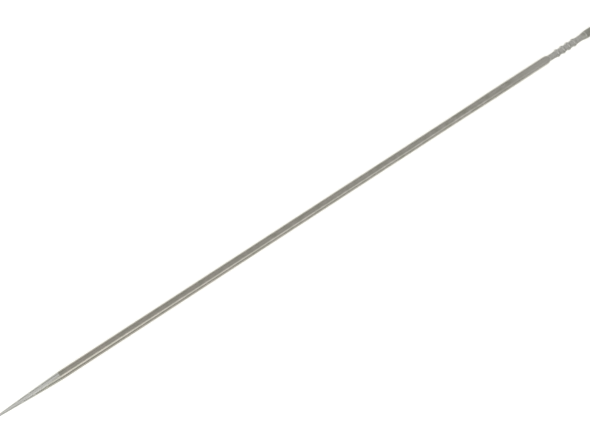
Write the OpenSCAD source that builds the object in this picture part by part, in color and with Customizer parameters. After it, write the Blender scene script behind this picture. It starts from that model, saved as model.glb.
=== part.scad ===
// Straight felting needle: a ground, barbed point, a plated shaft, a ribbed tang and a
// plain butt that a holder grips. All sizes are in millimetres.
// The needle lies along X on the plane z = 0, with its point towards -X. The origin is on
// that plane, under the middle of the needle's length.

/* [Point] */
// Length of the ground point, from its apex to the shaft
point_len = 9.45; // [8.5:0.05:13]
// Fullness of the point's curve, where 1 is a plain cone
point_fullness = 0.72; // [0.6:0.02:1]
// Distance from the apex to the hook of the first barb
barb_start = 3.4; // [2.4:0.1:4]
// Distance between the hooks of one row
barb_step = 1.6; // [1:0.1:1.7]
// Barbs in each row
barbs_per_row = 3; // [1:1:3]
// Depth of a barb's throat below the surface
barb_depth = 0.05; // [0.02:0.01:0.08]
// Length of a barb's throat along the needle
barb_throat = 0.4; // [0.2:0.05:0.6]
// How far a hook leans over its throat, towards the apex
barb_undercut = 0.03; // [0:0.01:0.05]

/* [Shaft] */
// Diameter of the shaft and of the point's base
shaft_d = 1.08; // [0.95:0.01:1.6]
// Length of the shaft, with its rear shoulder
shaft_len = 72.5; // [50:0.1:90]
// How much thicker the shaft's rear land is than the shaft
rear_swell = 0.08; // [0:0.01:0.1]
// Length of the shaft's rear land
land_len = 8.5; // [4:0.5:12]
// Length over which the shaft swells up to its rear land
swell_len = 5; // [2:0.5:10]
// Length of the rounded shoulder at the shaft's rear end
shoulder_len = 0.6; // [0.2:0.05:1]

/* [Tang] */
// Diameter of the plain necks before and behind the ribs
neck_d = 0.86; // [0.76:0.01:0.88]
// Length of the plain neck between the shaft and the ribs
front_neck_len = 1; // [0.5:0.05:2]
// Length of the plain neck between the ribs and the collar
rear_neck_len = 0.85; // [0.5:0.05:2]
// Number of ribs
rib_count = 4; // [1:1:8]
// Distance from crest to crest
rib_pitch = 0.9; // [0.7:0.02:1.2]
// Diameter over the crests
rib_d = 1.12; // [1.04:0.01:1.3]
// Diameter of the root between the ribs
rib_root_d = 0.9; // [0.89:0.01:0.98]
// Radius of a rib's round crest, seen in section
rib_round = 0.26; // [0.16:0.02:0.34]

/* [Collar] */
// Diameter of the collar's rim
collar_d = 1.08; // [0.95:0.01:1.6]
// Length of the collar
collar_len = 0.7; // [0.65:0.05:2]
// Length of the taper that leads from the neck up to the rim
collar_taper = 0.55; // [0.2:0.05:0.6]
// How far the rim still rises behind the taper, on its radius
rim_rise = 0.02; // [0.01:0.01:0.05]

/* [Butt] */
// Diameter of the butt, which is the size that a holder grips
butt_d = 1.09; // [0.95:0.01:1.6]
// Length of the butt
butt_len = 13.5; // [8:0.1:30]
// Radius that rounds the edge of the butt's rear end
butt_round = 0.2; // [0.05:0.05:0.4]

/* [Fits] */
// Diameter of the spigots that join the pieces
spigot_d = 0.5; // [0.3:0.05:0.6]
// Length of the spigot behind the point
point_spigot_len = 3; // [1:0.5:8]
// Length of the tang's spigot in the shaft
tang_spigot_len = 3; // [1:0.5:8]
// Length of the tang's spigot in the butt, from the butt's front face
butt_spigot_len = 5; // [1:0.5:7]
// Gap round each spigot, which solder fills
solder_gap = 0.01; // [0.01:0.005:0.03]
// Room left past the end of each spigot
socket_relief = 0.15; // [0.05:0.05:0.5]
// Width of the small chamfer on each turned edge
edge_break = 0.04; // [0.02:0.01:0.06]

/* [Hidden] */
$fn = 64;

ROWS = 3;
POINT_RINGS = 14;
ARC_STEPS = 6;

ribs_len = rib_count * rib_pitch;
shaft_x = point_len;
tang_x = shaft_x + shaft_len;
ribs_x = tang_x + front_neck_len;
rear_neck_x = ribs_x + ribs_len;
collar_x = rear_neck_x + rear_neck_len;
butt_x = collar_x + collar_len;
needle_len = butt_x + butt_len;

land_d = shaft_d + rear_swell;
bore_d = spigot_d + 2 * solder_gap;
// The needle rests on its widest piece
axis_z = max(land_d, rib_d, collar_d, butt_d) / 2;

// Puts a piece that is turned about Z at a distance from the apex, lying along X
module along_needle(x) {
    translate([x - needle_len / 2, 0, axis_z]) rotate([0, 90, 0]) children();
}

// A solid turned from its section, a list of [distance along the axis, radius]
module turned(section) {
    rotate_extrude() polygon([for (p = section) [p[1], p[0]]]);
}

// A blind hole from one end face, with a short lead-in at its mouth
module socket(depth) {
    translate([0, 0, -edge_break]) cylinder(d = bore_d, h = depth + edge_break);
    translate([0, 0, -edge_break])
        cylinder(d1 = bore_d + 4 * edge_break, d2 = bore_d, h = 2 * edge_break);
}

// Radius of the point's surface at a distance from the apex
function point_r(x) = shaft_d / 2 * pow(x / point_len, point_fullness);

// The rings stand closer together near the apex, where the curve is tighter
function ring_x(i) = point_len * pow(i / POINT_RINGS, 1.6);

// Cutter for one barb: a sloping throat that ends under a hook, which leans to the apex
module barb_cut(hook_x) {
    start_x = hook_x - barb_throat;
    throat_r = point_r(start_x);
    hook_r = point_r(hook_x);
    rotate([90, 0, 0]) linear_extrude(height = shaft_d, center = true) polygon([
        [throat_r, start_x],
        [throat_r + barb_depth, start_x],
        [hook_r + barb_depth, hook_x - barb_undercut],
        [hook_r - barb_depth, hook_x + barb_undercut]
    ]);
}

// The first row of barbs is at the bottom
module ground_point() {
    color([0.71, 0.71, 0.70]) along_needle(0) difference() {
        union() {
            turned(concat([for (i = [0 : POINT_RINGS]) [ring_x(i), point_r(ring_x(i))]],
                          [[point_len, 0]]));
            translate([0, 0, point_len - edge_break])
                cylinder(d = spigot_d, h = point_spigot_len + edge_break);
        }
        for (row = [0 : ROWS - 1], i = [0 : barbs_per_row - 1])
            rotate([0, 0, row * 360 / ROWS])
                barb_cut(barb_start + (i + row / ROWS) * barb_step);
    }
}

// The shaft swells smoothly up to its rear land. The rear shoulder is a quarter ellipse that
// comes down to the neck.
module shaft() {
    swell_x = shaft_len - shoulder_len - land_len - swell_len;
    drop = (land_d - neck_d) / 2;
    color([0.55, 0.53, 0.49]) along_needle(shaft_x) difference() {
        turned(concat(
            [[0, 0], [0, shaft_d / 2]],
            [for (i = [0 : ARC_STEPS]) let (a = 180 * i / ARC_STEPS)
                [swell_x + swell_len * i / ARC_STEPS, shaft_d / 2 + rear_swell * (1 - cos(a)) / 4]],
            [for (i = [0 : ARC_STEPS]) let (a = 90 * i / ARC_STEPS)
                [shaft_len - shoulder_len * (1 - sin(a)), neck_d / 2 + drop * cos(a)]],
            [[shaft_len, 0]]
        ));
        socket(point_spigot_len + socket_relief);
        translate([0, 0, shaft_len]) mirror([0, 0, 1])
            socket(tang_spigot_len + socket_relief);
    }
}

// One rib: a round-crested ring on the root
module rib() {
    rotate_extrude() intersection() {
        translate([rib_d / 2 - rib_round, 0]) circle(r = rib_round);
        translate([0, -rib_pitch / 2]) square([rib_d, rib_pitch]);
    }
}

module ribbed_tang() {
    color([0.64, 0.64, 0.62]) along_needle(tang_x) {
        translate([0, 0, -tang_spigot_len])
            cylinder(d = spigot_d, h = tang_spigot_len + front_neck_len);
        cylinder(d = neck_d, h = front_neck_len + ribs_len + rear_neck_len);
        translate([0, 0, front_neck_len]) {
            cylinder(d = rib_root_d, h = ribs_len);
            for (i = [0 : rib_count - 1])
                translate([0, 0, (i + 0.5) * rib_pitch]) rib();
            translate([0, 0, ribs_len])
                cylinder(d = spigot_d,
                         h = rear_neck_len + collar_len + butt_spigot_len);
        }
    }
}

module butt_collar() {
    rim_r = collar_d / 2;
    color([0.60, 0.60, 0.57]) along_needle(collar_x) difference() {
        turned([
            [0, 0],
            [0, neck_d / 2],
            [collar_taper, rim_r - rim_rise],
            [collar_len - edge_break, rim_r],
            [collar_len, rim_r - edge_break],
            [collar_len, 0]
        ]);
        translate([0, 0, -edge_break]) cylinder(d = bore_d, h = collar_len + 2 * edge_break);
    }
}

module butt() {
    grip_r = butt_d / 2;
    color([0.42, 0.42, 0.39]) along_needle(butt_x) difference() {
        turned(concat(
            [[0, 0], [0, grip_r - edge_break], [edge_break, grip_r]],
            [for (i = [0 : ARC_STEPS]) let (a = 90 * i / ARC_STEPS)
                [butt_len - butt_round * (1 - sin(a)), grip_r - butt_round * (1 - cos(a))]],
            [[butt_len, 0]]
        ));
        socket(butt_spigot_len + socket_relief);
    }
}

ground_point();
shaft();
ribbed_tang();
butt_collar();
butt();
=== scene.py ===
import math

import bmesh
import bpy
from mathutils import Matrix, Vector


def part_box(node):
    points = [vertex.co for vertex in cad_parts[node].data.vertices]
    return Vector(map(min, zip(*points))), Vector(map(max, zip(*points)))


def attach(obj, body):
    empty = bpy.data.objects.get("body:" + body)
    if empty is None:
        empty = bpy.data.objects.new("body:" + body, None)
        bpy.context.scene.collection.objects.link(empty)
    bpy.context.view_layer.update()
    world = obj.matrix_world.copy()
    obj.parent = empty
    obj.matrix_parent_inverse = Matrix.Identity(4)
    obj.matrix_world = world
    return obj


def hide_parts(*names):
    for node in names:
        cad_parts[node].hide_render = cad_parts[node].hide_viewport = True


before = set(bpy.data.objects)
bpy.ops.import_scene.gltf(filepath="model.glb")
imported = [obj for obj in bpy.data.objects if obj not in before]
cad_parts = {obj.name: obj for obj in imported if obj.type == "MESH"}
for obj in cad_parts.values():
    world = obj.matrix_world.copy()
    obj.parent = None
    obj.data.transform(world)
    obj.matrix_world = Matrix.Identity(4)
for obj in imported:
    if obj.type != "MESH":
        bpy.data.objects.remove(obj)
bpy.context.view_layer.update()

MM = 0.001

# The camera looks down on the needle with a 72 mm lens from 143 mm away, close enough that
# the point, which is nearer, shows about a tenth larger than the ribs. The needle runs up to
# the right at 33 degrees, its apex just past the left edge and its butt past the right one.
LENS = 72.1
SLOPE = math.radians(32.96)
TURNED_AWAY = math.radians(12.0)
ELEVATION = math.radians(85.0)
DISTANCE = 143.2 * MM
AIM_ALONG = -8.0 * MM
AIM_ABOVE = 0.53 * MM

shaft_low, shaft_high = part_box("shaft")
axis_height = (shaft_low.z + shaft_high.z) / 2
look = Vector((
    math.sin(TURNED_AWAY),
    math.cos(TURNED_AWAY) * math.cos(ELEVATION),
    -math.cos(TURNED_AWAY) * math.sin(ELEVATION),
))
along = (Vector((1, 0, 0)) - look * look.x).normalized()
across = along.cross(look)
right = math.cos(SLOPE) * along - math.sin(SLOPE) * across
up = math.sin(SLOPE) * along + math.cos(SLOPE) * across
aim = Vector((AIM_ALONG, 0, axis_height)) + across * AIM_ABOVE

camera_data = bpy.data.cameras.new("camera")
camera_data.lens = LENS
camera_data.sensor_width = 36.0
camera_data.clip_start = 1 * MM
camera_data.clip_end = 20000 * MM
camera = bpy.data.objects.new("camera", camera_data)
bpy.context.collection.objects.link(camera)
facing = Matrix((right, up, -look)).transposed().to_4x4()
camera.matrix_world = Matrix.Translation(aim - look * DISTANCE) @ facing
bpy.context.scene.camera = camera
bpy.context.scene.view_settings.view_transform = "Standard"


# The surface is a plain pale board with a matt coat, which glows a little, as a light table
# does. It lies in a tent of even pale light with a darker belt low down.
def linear(hex_colour):
    """An sRGB hex colour as linear RGBA."""
    channels = [int(hex_colour[i:i + 2], 16) / 255 for i in (0, 2, 4)]
    spread = [c / 12.92 if c <= 0.04045 else ((c + 0.055) / 1.055) ** 2.4 for c in channels]
    return (*spread, 1)


def add_node(tree, kind, settings=None, **inputs):
    """A shader node with its settings and its inputs, each a value or a socket to link.

    An input goes by its name, with _ for a space, or by its number, as in _6.
    """
    made = tree.nodes.new(kind)
    for name, value in (settings or {}).items():
        setattr(made, name, value)
    for name, value in inputs.items():
        socket = made.inputs[int(name[1:]) if name[1:].isdigit() else name.replace("_", " ")]
        if isinstance(value, bpy.types.NodeSocket):
            tree.links.new(value, socket)
        else:
            socket.default_value = value
    return made


def new_material(name):
    """A material, its tree of nodes, and the tree's only node, the output."""
    made = bpy.data.materials.new(name)
    made.use_nodes = True
    made.node_tree.nodes.clear()
    return made, made.node_tree, add_node(made.node_tree, "ShaderNodeOutputMaterial")


BOARD_SIZE = 6000 * MM
BOARD_GLOW = 0.56
# Heights in the tent, from 0 at the horizon to 1 overhead, between which the belt gets paler
BELT_TOP = 0.1
WALL_FOOT = 0.28

bpy.ops.object.select_all(action="DESELECT")
bpy.ops.mesh.primitive_plane_add(size=BOARD_SIZE, location=(0, 0, 0))
board = bpy.context.object
board.name = "board"

board_coat, tree, output = new_material("board_coat_matt")
shader = add_node(
    tree, "ShaderNodeBsdfPrincipled", Base_Color=linear("e6e6e4"), Roughness=0.8,
    Emission_Color=linear("fffffc"), Emission_Strength=BOARD_GLOW)
tree.links.new(shader.outputs[0], output.inputs[0])
board.data.materials.append(board_coat)

tent = bpy.data.worlds.new("tent")
tent.use_nodes = True
tree = tent.node_tree
direction = add_node(tree, "ShaderNodeTexCoord").outputs["Generated"]
height = add_node(tree, "ShaderNodeSeparateXYZ", Vector=direction).outputs["Z"]
above_belt = add_node(
    tree, "ShaderNodeMapRange", Value=height, From_Min=BELT_TOP, From_Max=WALL_FOOT)
wall = add_node(
    tree, "ShaderNodeMix", {"data_type": "RGBA"}, _0=above_belt.outputs[0],
    _6=linear("959593"), _7=linear("dadad9"))
seen_directly = add_node(tree, "ShaderNodeLightPath").outputs["Is Camera Ray"]
backdrop = add_node(
    tree, "ShaderNodeMix", {"data_type": "RGBA"}, _0=seen_directly,
    _6=wall.outputs[2], _7=linear("fffffe"))
tree.links.new(backdrop.outputs[2], tree.nodes["Background"].inputs["Color"])
bpy.context.scene.world = tent


# Three soft boxes in a row in front of the needle draw the bright line along the shaft, which
# is brightest beside the point and fades towards the ribs. A large panel high on the left
# lights the other side.
def soft_box(name, place, along_x, across_x, watts):
    """A rectangular soft light that faces the needle. Its place and sides are in millimetres."""
    data = bpy.data.lights.new(name, "AREA")
    data.shape = "RECTANGLE"
    data.size = along_x * MM
    data.size_y = across_x * MM
    data.energy = watts
    made = bpy.data.objects.new(name, data)
    bpy.context.collection.objects.link(made)
    needle_way = Vector((1, 0, 0))
    away = Vector((0, place[1], place[2])).normalized()
    facing = Matrix((needle_way, away.cross(needle_way), away)).transposed().to_4x4()
    made.matrix_world = Matrix.Translation(Vector(place) * MM) @ facing


soft_box("long_light", place=(40, -218, 208), along_x=230, across_x=160, watts=0.075)
soft_box("middle_light", place=(2, -200, 224), along_x=110, across_x=140, watts=0.013)
soft_box("front_light", place=(-53, -146, 263), along_x=60, across_x=160, watts=0.0365)
soft_box("left_panel", place=(-160, 110, 300), along_x=180, across_x=500, watts=0.13)


# The shaft is a long steel rod, drawn, bored at both ends for the spigots of the point and
# the tang, plated with warm nickel and buffed along its length. It swells a little towards
# its rear end, which comes down to the neck in a short rounded shoulder.
SIDES = 96
SHARP_R = 0.0001 * MM
MERGE_WITHIN = 0.001 * MM
SMOOTH_UNDER = math.radians(25)


def turned_piece(name, stations):
    """A solid turned about the needle's axis, through stations of (place along X, radius).

    Its ends are closed, unless the last station is the first one again, as it is for a ring.
    A radius of 0 makes a sharp tip, whose vertices merge.
    """
    bpy.ops.object.select_all(action="DESELECT")
    first_x, first_r = stations[0]
    is_ring = stations[0] == stations[-1]
    bpy.ops.mesh.primitive_circle_add(
        vertices=SIDES, radius=first_r, fill_type="NOTHING" if is_ring else "TRIFAN",
        location=(first_x, 0, axis_height), rotation=(0, math.pi / 2, 0))
    made = bpy.context.object
    made.name = name
    bpy.ops.object.mode_set(mode="EDIT")
    bpy.ops.mesh.select_all(action="SELECT")
    last_x, last_r = stations[0]
    for x, radius in stations[1:]:
        r = max(radius, SHARP_R)
        bpy.ops.mesh.extrude_region_move(TRANSFORM_OT_translate={"value": (x - last_x, 0, 0)})
        bpy.ops.transform.resize(
            value=(1, r / last_r, r / last_r), center_override=(x, 0, axis_height))
        last_x, last_r = x, r
    bpy.ops.mesh.select_all(action="SELECT")
    bpy.ops.mesh.remove_doubles(threshold=MERGE_WITHIN)
    bpy.ops.mesh.normals_make_consistent(inside=False)
    bpy.ops.object.mode_set(mode="OBJECT")
    bpy.ops.object.transform_apply(location=True, rotation=True, scale=True)
    bpy.ops.object.shade_smooth_by_angle(angle=SMOOTH_UNDER)
    return made


def finish_piece(piece, material, node):
    """Gives a piece its material, hangs it on the root body, and hides the CAD node it stands
    for.
    """
    piece.data.materials.append(material)
    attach(piece, "root")
    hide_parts(node)


BORE_R = 0.26 * MM
SHAFT_SOCKET = 3.15 * MM
FRONT_EDGE = 0.01 * MM
SWELL = 5.0 * MM
LAND = 8.5 * MM
SHOULDER = 0.6 * MM
NECK_R = 0.43 * MM
CURVE_STEPS = 8

# The point's base is as thick as the shaft, whose own box is as wide as its rear land
point_low, point_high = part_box("ground_point")
shaft_r = (point_high.z - point_low.z) / 2
land_r = (shaft_high.z - shaft_low.z) / 2
swell_x = shaft_high.x - SHOULDER - LAND - SWELL
swell_curve = []
shoulder_curve = []
for step in range(CURVE_STEPS + 1):
    turn = math.pi * step / CURVE_STEPS
    swell_curve.append((
        swell_x + SWELL * step / CURVE_STEPS,
        shaft_r + (land_r - shaft_r) * (1 - math.cos(turn)) / 2))
    shoulder_curve.append((
        shaft_high.x - SHOULDER * (1 - math.sin(turn / 2)),
        NECK_R + (land_r - NECK_R) * math.cos(turn / 2)))
shaft = turned_piece("plated_shaft", [
    (shaft_low.x + SHAFT_SOCKET, BORE_R),
    (shaft_low.x, BORE_R),
    (shaft_low.x, shaft_r - FRONT_EDGE),
    (shaft_low.x + FRONT_EDGE, shaft_r),
    *swell_curve,
    *shoulder_curve,
    (shaft_high.x, BORE_R),
    (shaft_high.x - SHAFT_SOCKET, BORE_R),
])


def needle_places(tree, along=1, around=1):
    """Places on the needle, in metres or counted in grains of a length and a width."""
    place = add_node(tree, "ShaderNodeTexCoord").outputs["Object"]
    return add_node(
        tree, "ShaderNodeMapping", Vector=place, Scale=(1 / along, 1 / around, 1 / around),
    ).outputs["Vector"]


def metal_surface(tree, output, colour, grain, smooth, rough, relief, depth):
    """A metal surface whose roughness and fine relief both follow one grain."""
    roughness = add_node(tree, "ShaderNodeMapRange", Value=grain, To_Min=smooth, To_Max=rough)
    bump = add_node(tree, "ShaderNodeBump", Height=grain, Strength=relief, Distance=depth)
    shader = add_node(
        tree, "ShaderNodeBsdfPrincipled", Base_Color=colour, Metallic=1.0,
        Roughness=roughness.outputs[0], Normal=bump.outputs[0])
    tree.links.new(shader.outputs[0], output.inputs[0])


# The plate pales from the first place to the second, and clouds shift that by up to the drift
PALING_FROM = -35.0 * MM
PALING_TO = 60.0 * MM
PALING_DRIFT = 30.0 * MM
# How far before the shaft's rear end the heat of soldering begins to show, and shows in full
HEAT_BEGINS = 6.5 * MM
HEAT_FULL = 3.0 * MM


def polished_nickel():
    """Nickel plate, buffed: bright and warm, unevenly stained, paler where it was soldered.

    The stains and clouds have their real sizes. The buffing lines are really about 0.01 mm
    wide, too fine to show, and are drawn 0.07 mm wide.
    """
    made, tree, output = new_material("nickel_plate_polished")
    place = add_node(tree, "ShaderNodeSeparateXYZ", Vector=needle_places(tree))
    cloud = add_node(
        tree, "ShaderNodeTexNoise", Vector=needle_places(tree, 4.5 * MM, 2.0 * MM),
        Scale=1, Detail=3)
    drifted = add_node(
        tree, "ShaderNodeMath", {"operation": "MULTIPLY_ADD"},
        _0=cloud.outputs["Fac"], _1=PALING_DRIFT, _2=place.outputs["X"])
    paling = add_node(
        tree, "ShaderNodeMapRange", Value=drifted.outputs[0],
        From_Min=PALING_FROM, From_Max=PALING_TO)
    base_tone = add_node(
        tree, "ShaderNodeMix", {"data_type": "RGBA"}, _0=paling.outputs[0],
        _6=linear("a49e95"), _7=linear("b1afa9"))
    darkening = add_node(
        tree, "ShaderNodeTexNoise", Vector=needle_places(tree, 0.9 * MM, 0.55 * MM),
        Scale=1, Detail=3)
    stained = add_node(
        tree, "ShaderNodeMapRange", Value=darkening.outputs["Fac"], From_Min=0.35, From_Max=0.75)
    plate = add_node(
        tree, "ShaderNodeMix", {"data_type": "RGBA"}, _0=stained.outputs[0],
        _6=base_tone.outputs[2], _7=linear("98978c"))
    heated = add_node(
        tree, "ShaderNodeMapRange", Value=place.outputs["X"],
        From_Min=shaft_high.x - HEAT_BEGINS, From_Max=shaft_high.x - HEAT_FULL)
    colour = add_node(
        tree, "ShaderNodeMix", {"data_type": "RGBA"}, _0=heated.outputs[0],
        _6=plate.outputs[2], _7=linear("b1afa8"))
    lines = add_node(
        tree, "ShaderNodeTexNoise", Vector=needle_places(tree, 4.0 * MM, 0.07 * MM),
        Scale=1, Detail=4)
    metal_surface(
        tree, output, colour.outputs[2], lines.outputs["Fac"],
        smooth=0.17, rough=0.26, relief=0.15, depth=0.002 * MM)
    return made


finish_piece(shaft, polished_nickel(), "shaft")


# The point is hardened steel, plated with the shaft and then ground to a slightly full cone,
# so it is bare, paler and satin. Its lower side carries painted shade, a darker ragged band
# that narrows towards the apex. Three rows of barbs are cut into it, and the spigot behind it
# is soldered into the shaft's bore.
POINT_FULLNESS = 0.72
POINT_RINGS = 40
RING_CROWDING = 1.6
SPIGOT_R = 0.25 * MM
SPIGOT_LENGTH = 3.0 * MM

apex_x = point_low.x
base_x = shaft_low.x
point_length = base_x - apex_x


def point_radius(from_apex):
    """Radius of the point's surface at a distance from its apex."""
    return shaft_r * (from_apex / point_length) ** POINT_FULLNESS


# The rings crowd together near the apex, where the curve is tighter
point_stations = [(base_x + SPIGOT_LENGTH, SPIGOT_R), (base_x, SPIGOT_R)]
for ring in range(POINT_RINGS, -1, -1):
    from_apex = point_length * (ring / POINT_RINGS) ** RING_CROWDING
    point_stations.append((apex_x + from_apex, point_radius(from_apex)))
point = turned_piece("barbed_point", point_stations)

BARB_ROWS = 3
BARBS_IN_ROW = 3
FIRST_BARB = 3.4 * MM
BARB_STEP = 1.6 * MM
BARB_DEPTH = 0.05 * MM
BARB_THROAT = 0.4 * MM
BARB_LEAN = 0.03 * MM


def barb_cutter(hook_from_apex, turn):
    """A wedge that cuts one barb in the point: a sloping throat that ends under a hook."""
    throat_r = point_radius(hook_from_apex - BARB_THROAT)
    hook_r = point_radius(hook_from_apex)
    bpy.ops.object.select_all(action="DESELECT")
    bpy.ops.mesh.primitive_cube_add(
        size=1, scale=(BARB_THROAT, 2 * shaft_r, BARB_DEPTH),
        location=(apex_x + hook_from_apex - BARB_THROAT / 2, 0,
                  axis_height + throat_r + BARB_DEPTH / 2))
    cutter = bpy.context.object
    bpy.ops.object.mode_set(mode="EDIT")
    # At the hook, the wedge's lower edge goes in under it and the upper one comes out before it
    for is_top, slide, rise in ((False, BARB_LEAN, hook_r - BARB_DEPTH - throat_r),
                                (True, -BARB_LEAN, hook_r - throat_r)):
        mesh = bmesh.from_edit_mesh(cutter.data)
        for vertex in mesh.verts:
            vertex.select = vertex.co.x > 0 and (vertex.co.z > 0) == is_top
        mesh.select_flush_mode()
        bpy.ops.transform.translate(value=(slide, 0, rise))
    bpy.ops.mesh.select_all(action="SELECT")
    bpy.ops.transform.rotate(
        value=turn, orient_axis="X", center_override=(0, 0, axis_height))
    bpy.ops.object.mode_set(mode="OBJECT")
    bpy.ops.object.transform_apply(location=True, rotation=True, scale=True)
    return cutter


# The first row is at the bottom, and the rows stand a third of a step apart along the needle
cutters = []
for row in range(BARB_ROWS):
    for barb in range(BARBS_IN_ROW):
        hook_from_apex = FIRST_BARB + (barb + row / BARB_ROWS) * BARB_STEP
        turn = math.pi - row * 2 * math.pi / BARB_ROWS
        cutters.append(barb_cutter(hook_from_apex, turn))
for cutter in cutters:
    cutter.select_set(True)
bpy.ops.object.join()
barbs_cutter = bpy.context.object
bpy.ops.object.select_all(action="DESELECT")
point.select_set(True)
bpy.context.view_layer.objects.active = point
cut = point.modifiers.new("barbs", "BOOLEAN")
cut.object = barbs_cutter
cut.operation = "DIFFERENCE"
bpy.ops.object.modifier_apply(modifier="barbs")
bpy.ops.object.shade_smooth_by_angle(angle=SMOOTH_UNDER)
bpy.data.objects.remove(barbs_cutter)


# The upper edge of the painted shade on the point's lower side: its place along Y at the shaft,
# how much it falls for each step towards the apex, how ragged it is, and half of the width
# over which the painted shade fades out
SHADE_TOP = 0.08 * MM
SHADE_SLANT = 0.1
SHADE_RAGGED = 0.2 * MM
SHADE_EDGE = 0.06 * MM


def ground_steel():
    """Hardened steel, ground: neutral, satin, scratched lengthwise, with painted shade below.

    The scratches of a fine wheel are really about 0.04 mm wide, too fine to show, and are
    drawn 0.14 mm wide. The painted shade narrows towards the apex, and its edge is ragged.
    """
    made, tree, output = new_material("steel_ground_satin")
    lines = add_node(
        tree, "ShaderNodeTexNoise", Vector=needle_places(tree, 4.0 * MM, 0.14 * MM),
        Scale=1, Detail=5)
    bare = add_node(
        tree, "ShaderNodeMix", {"data_type": "RGBA"}, _0=lines.outputs["Fac"],
        _6=linear("a6a6a2"), _7=linear("c6c6c1"))
    above_shade = add_node(
        tree, "ShaderNodeVectorMath", {"operation": "DOT_PRODUCT"},
        _0=needle_places(tree), _1=(-SHADE_SLANT, 1, 0))
    ragged = add_node(
        tree, "ShaderNodeMath", {"operation": "MULTIPLY_ADD"},
        _0=lines.outputs["Fac"], _1=SHADE_RAGGED, _2=above_shade.outputs["Value"])
    shade_edge = SHADE_TOP - SHADE_SLANT * base_x + SHADE_RAGGED / 2
    shaded_side = add_node(
        tree, "ShaderNodeMapRange", Value=ragged.outputs[0],
        From_Min=shade_edge + SHADE_EDGE, From_Max=shade_edge - SHADE_EDGE)
    # Painted shade: the point's lower side is mixed towards a darker grey
    colour = add_node(
        tree, "ShaderNodeMix", {"data_type": "RGBA"}, _0=shaded_side.outputs[0],
        _6=bare.outputs[2], _7=linear("a7a69d"))
    relief = add_node(
        tree, "ShaderNodeMapRange", Value=shaded_side.outputs[0], To_Min=0.35, To_Max=0.08)
    metal_surface(
        tree, output, colour.outputs[2], lines.outputs["Fac"],
        smooth=0.18, rough=0.28, relief=relief.outputs[0], depth=0.006 * MM)
    return made


finish_piece(point, ground_steel(), "ground_point")


# The tang is one turned steel pin: a plain neck, four round-crested ribs, a second neck,
# and a spigot at each end, soldered into the shaft and into the butt. It is bare.
RIBS = 4
RIB_PITCH = 0.9 * MM
RIB_R = 0.56 * MM
ROOT_R = 0.45 * MM
CREST_ROUND = 0.26 * MM
FRONT_NECK = 1.0 * MM
RIB_STEPS = 10

tang_low, tang_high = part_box("ribbed_tang")
collar_low, collar_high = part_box("butt_collar")
tang_x = shaft_high.x
ribs_x = tang_x + FRONT_NECK
tang_stations = [
    (tang_low.x, SPIGOT_R),
    (tang_x, SPIGOT_R),
    (tang_x, NECK_R),
    (ribs_x, NECK_R),
    (ribs_x, ROOT_R),
]
# Half of a rib's width, where its round crest meets the root
crest_half = math.sqrt(CREST_ROUND ** 2 - (ROOT_R - RIB_R + CREST_ROUND) ** 2)
for rib in range(RIBS):
    crest_x = ribs_x + (rib + 0.5) * RIB_PITCH
    for step in range(RIB_STEPS + 1):
        from_crest = crest_half * (2 * step / RIB_STEPS - 1)
        tang_stations.append((
            crest_x + from_crest,
            RIB_R - CREST_ROUND + math.sqrt(CREST_ROUND ** 2 - from_crest ** 2)))
tang_stations += [
    (ribs_x + RIBS * RIB_PITCH, ROOT_R),
    (ribs_x + RIBS * RIB_PITCH, NECK_R),
    (collar_low.x, NECK_R),
    (collar_low.x, SPIGOT_R),
    (tang_high.x, SPIGOT_R),
]
tang = turned_piece("tang_pin", tang_stations)


def painted_lower_shade(tree, unshaded_at, shaded_at):
    """How much painted shade darkens the needle on its lower side, the side towards -Y."""
    place = add_node(tree, "ShaderNodeSeparateXYZ", Vector=needle_places(tree))
    darkening = add_node(
        tree, "ShaderNodeMapRange", Value=place.outputs["Y"],
        From_Min=unshaded_at, From_Max=shaded_at)
    return darkening.outputs[0]


def turned_steel():
    """Bare steel, turned: grey and semi-bright, with fine rings, painted shade on its lower
    side.

    The tool's rings are really about 0.02 mm apart, too fine to show, and are drawn 0.06 mm
    apart.
    """
    made, tree, output = new_material("steel_turned_bare")
    rings = add_node(
        tree, "ShaderNodeTexNoise", Vector=needle_places(tree, 0.06 * MM, 1.7 * MM),
        Scale=1, Detail=3)
    base_tone = add_node(
        tree, "ShaderNodeMix", {"data_type": "RGBA"}, _0=rings.outputs["Fac"],
        _6=linear("b3b2ad"), _7=linear("c4c3be"))
    # Painted shade: darker towards the lower side, the side towards -Y
    colour = add_node(
        tree, "ShaderNodeMix", {"data_type": "RGBA"},
        _0=painted_lower_shade(tree, unshaded_at=-0.05 * MM, shaded_at=-0.45 * MM),
        _6=base_tone.outputs[2], _7=linear("9c9b95"))
    metal_surface(
        tree, output, colour.outputs[2], rings.outputs["Fac"],
        smooth=0.22, rough=0.34, relief=0.25, depth=0.003 * MM)
    return made


finish_piece(tang, turned_steel(), "ribbed_tang")


# The collar is a small turned ring of darkened steel, soldered round the tang's rear spigot.
# It leads from the neck up to the needle's full thickness, and its rear edge is broken.
COLLAR_TAPER = 0.55 * MM
RIM_RISE = 0.02 * MM
EDGE_BREAK = 0.04 * MM

collar_r = (collar_high.z - collar_low.z) / 2
collar = turned_piece("collar_ring", [
    (collar_low.x, BORE_R),
    (collar_low.x, NECK_R),
    (collar_low.x + COLLAR_TAPER, collar_r - RIM_RISE),
    (collar_high.x - EDGE_BREAK, collar_r),
    (collar_high.x, collar_r - EDGE_BREAK),
    (collar_high.x, BORE_R),
    (collar_low.x, BORE_R),
])


# How pale the collar is from its front to a little way into the butt, as pairs of
# (share of that length, paleness): pale from the solder at the neck, and a painted highlight,
# a bright band, near the rim
COLLAR_PALING_AND_HIGHLIGHT = ((0.0, 0.35), (0.6, 0.1), (0.68, 0.8), (0.75, 0.8), (0.83, 0.0), (1.0, 0.0))
RAMP_ON_BUTT = 0.1 * MM
PAINTED_SHADE_STRENGTH = 0.3


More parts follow.
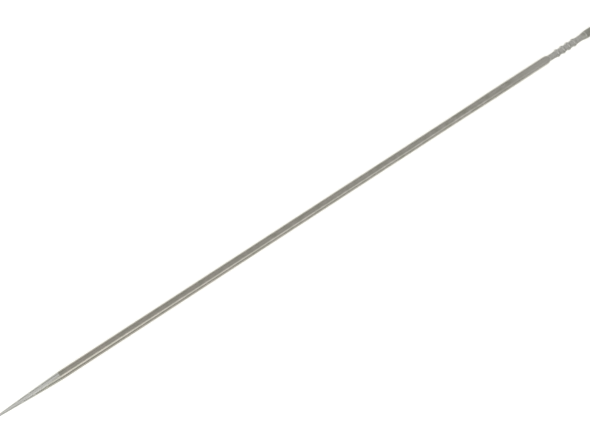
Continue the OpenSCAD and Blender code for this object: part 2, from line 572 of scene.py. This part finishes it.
def darkened_steel():
    """Steel darkened by heat: satin and cloudy, with painted shade on its lower side.

    The clouds have their real size. The lines left by the polishing stone are really about
    0.02 mm wide, too fine to show, and are drawn 0.11 mm wide.
    """
    made, tree, output = new_material("steel_darkened_satin")
    cloud = add_node(
        tree, "ShaderNodeTexNoise", Vector=needle_places(tree, 0.8 * MM, 0.55 * MM),
        Scale=1, Detail=5)
    mottle = add_node(
        tree, "ShaderNodeMapRange", Value=cloud.outputs["Fac"], From_Min=0.3, From_Max=0.7)
    cloudy = add_node(
        tree, "ShaderNodeMix", {"data_type": "RGBA"}, _0=mottle.outputs[0],
        _6=linear("919087"), _7=linear("a9a9a1"))
    place = add_node(tree, "ShaderNodeSeparateXYZ", Vector=needle_places(tree))
    along_collar = add_node(
        tree, "ShaderNodeMapRange", Value=place.outputs["X"],
        From_Min=collar_low.x, From_Max=collar_high.x + RAMP_ON_BUTT)
    paling_and_highlight = add_node(tree, "ShaderNodeValToRGB", Fac=along_collar.outputs[0])
    stops = paling_and_highlight.color_ramp.elements
    while len(stops) < len(COLLAR_PALING_AND_HIGHLIGHT):
        stops.new(1)
    for stop, (share, paleness) in zip(stops, COLLAR_PALING_AND_HIGHLIGHT):
        stop.position = share
        stop.color = (paleness, paleness, paleness, 1)
    # The bright band near the rim is a painted highlight
    paled_and_lit = add_node(
        tree, "ShaderNodeMix", {"data_type": "RGBA"}, _0=paling_and_highlight.outputs["Color"],
        _6=cloudy.outputs[2], _7=linear("d2d1cb"))
    # Painted shade, faint: darker towards the lower side, the side towards -Y
    faint_painted_shade = add_node(
        tree, "ShaderNodeMath", {"operation": "MULTIPLY"},
        _0=painted_lower_shade(tree, unshaded_at=0.1 * MM, shaded_at=-0.3 * MM), _1=PAINTED_SHADE_STRENGTH)
    colour = add_node(
        tree, "ShaderNodeMix", {"data_type": "RGBA"}, _0=faint_painted_shade.outputs[0],
        _6=paled_and_lit.outputs[2], _7=linear("87877e"))
    lines = add_node(
        tree, "ShaderNodeTexNoise", Vector=needle_places(tree, 2.5 * MM, 0.11 * MM),
        Scale=1, Detail=4)
    metal_surface(
        tree, output, colour.outputs[2], lines.outputs["Fac"],
        smooth=0.32, rough=0.5, relief=0.3, depth=0.005 * MM)
    return made


darkened_material = darkened_steel()
finish_piece(collar, darkened_material, "butt_collar")


# The butt is a plain steel rod, darkened and satin like the collar, that a holder grips. Its
# front edge is broken, its rear end is rounded, and it is bored in front for the tang.
BUTT_ROUND = 0.2 * MM
BUTT_SOCKET = 5.15 * MM

butt_low, butt_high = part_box("butt")
butt_r = (butt_high.z - butt_low.z) / 2
butt_end = []
for step in range(CURVE_STEPS + 1):
    angle = math.pi / 2 * step / CURVE_STEPS
    butt_end.append((
        butt_high.x - BUTT_ROUND * (1 - math.sin(angle)),
        butt_r - BUTT_ROUND * (1 - math.cos(angle))))
butt = turned_piece("butt_rod", [
    (butt_low.x + BUTT_SOCKET, BORE_R),
    (butt_low.x, BORE_R),
    (butt_low.x, butt_r - EDGE_BREAK),
    (butt_low.x + EDGE_BREAK, butt_r),
    *butt_end,
])
finish_piece(butt, darkened_material, "butt")
